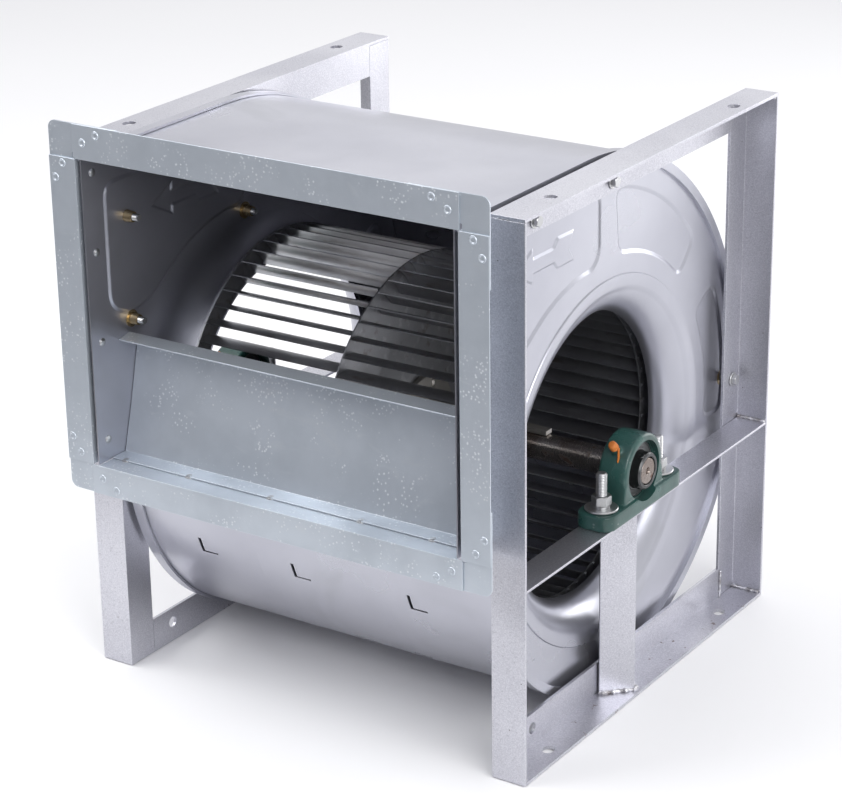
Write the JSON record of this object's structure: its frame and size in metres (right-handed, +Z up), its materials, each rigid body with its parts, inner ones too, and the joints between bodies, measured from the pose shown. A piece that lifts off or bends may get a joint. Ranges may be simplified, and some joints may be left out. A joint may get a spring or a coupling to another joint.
{
  "type": "double-inlet centrifugal blower",
  "caption": "Double-inlet centrifugal blower: forward-curved wheel on a shaft in two pillow-block bearings, inside a scroll housing with an outlet flange and angle-iron side frames.",
  "frame": {"origin": "centre of the footprint, on the surface the side frames stand on", "axes": "+Z up, +X along the shaft to its free end, -X to its drive end, -Y out of the air outlet"},
  "size_m": [0.62, 0.589, 0.6356],
  "materials": {
    "frame_paint": "silver-grey paint over angle iron, slightly grainy",
    "galvanized": "galvanized sheet, satin",
    "flange_zinc": "galvanized sheet, bluish grey with a fine spangle",
    "wheel_steel": "galvanized sheet, satin, dark",
    "shaft_steel": "ground steel, oiled, with rust stains",
    "green_casting": "dark green enamel over a casting",
    "bearing_steel": "ground bearing steel",
    "orange_plastic": "moulded cap, matte",
    "zinc_fastener": "zinc plated"
  },
  "bodies": {
    "housing": {"scroll_wrapper": "galvanized", "cutoff_plate": "flange_zinc", "outlet_flange_top": "flange_zinc", "outlet_flange_bottom": "flange_zinc", "outlet_flange_left": "flange_zinc", "outlet_flange_right": "flange_zinc", "side_plate_right": "galvanized", "inlet_cone_right": "galvanized", "corner_plate_top_right": "flange_zinc", "corner_plate_bottom_right": "flange_zinc", "top_rail_right": "frame_paint", "bottom_rail_right": "frame_paint", "front_post_right": "frame_paint", "rear_post_right": "frame_paint", "bearing_bar_right": "frame_paint", "bar_upright_right": "frame_paint", "frame_screw_top_front_right": "zinc_fastener", "frame_screw_top_rear_right": "zinc_fastener", "frame_screw_rear_right": "zinc_fastener", "bearing_housing_right": "green_casting", "bearing_outer_ring_right": "bearing_steel", "grease_nipple_right": "orange_plastic", "bearing_bolt_front_right": "zinc_fastener", "bearing_washer_front_right": "zinc_fastener", "bearing_nut_front_right": "zinc_fastener", "bearing_bolt_rear_right": "zinc_fastener", "bearing_washer_rear_right": "zinc_fastener", "bearing_nut_rear_right": "zinc_fastener", "side_plate_left": "galvanized", "inlet_cone_left": "galvanized", "corner_plate_top_left": "flange_zinc", "corner_plate_bottom_left": "flange_zinc", "top_rail_left": "frame_paint", "bottom_rail_left": "frame_paint", "front_post_left": "frame_paint", "rear_post_left": "frame_paint", "bearing_bar_left": "frame_paint", "bar_upright_left": "frame_paint", "frame_screw_front_upper_left": "zinc_fastener", "frame_screw_front_lower_left": "zinc_fastener", "bearing_housing_left": "green_casting", "bearing_outer_ring_left": "bearing_steel", "grease_nipple_left": "orange_plastic", "bearing_bolt_front_left": "zinc_fastener", "bearing_washer_front_left": "zinc_fastener", "bearing_nut_front_left": "zinc_fastener", "bearing_bolt_rear_left": "zinc_fastener", "bearing_washer_rear_left": "zinc_fastener", "bearing_nut_rear_left": "zinc_fastener"},
    "rotor": {"bearing_inner_ring_right": "bearing_steel", "bearing_inner_ring_left": "bearing_steel", "shaft": "shaft_steel", "drive_key": "shaft_steel", "centre_disc": "wheel_steel", "wheel_hub": "zinc_fastener", "hub_key": "zinc_fastener", "blade_row_left": "wheel_steel", "blade_row_right": "wheel_steel"},
    "cage_right": {"bearing_ball_row_right": "bearing_steel"},
    "cage_left": {"bearing_ball_row_left": "bearing_steel"}
  },
  "joints": [
    {"name": "wheel_spin", "type": "hinge", "parent": "housing", "child": "rotor", "pos_m": [0.03, -0.0033, 0.261], "axis": [1, 0, 0], "continuous": true},
    {"name": "cage_spin_right", "type": "hinge", "parent": "housing", "child": "cage_right", "pos_m": [0.287, -0.0033, 0.261], "axis": [1, 0, 0], "continuous": true},
    {"name": "cage_spin_left", "type": "hinge", "parent": "housing", "child": "cage_left", "pos_m": [-0.227, -0.0033, 0.261], "axis": [1, 0, 0], "continuous": true}
  ],
  "couplings": [
    {"joint": "cage_spin_right", "follows": "wheel_spin", "ratio": 0.397},
    {"joint": "cage_spin_left", "follows": "wheel_spin", "ratio": 0.397}
  ]
}
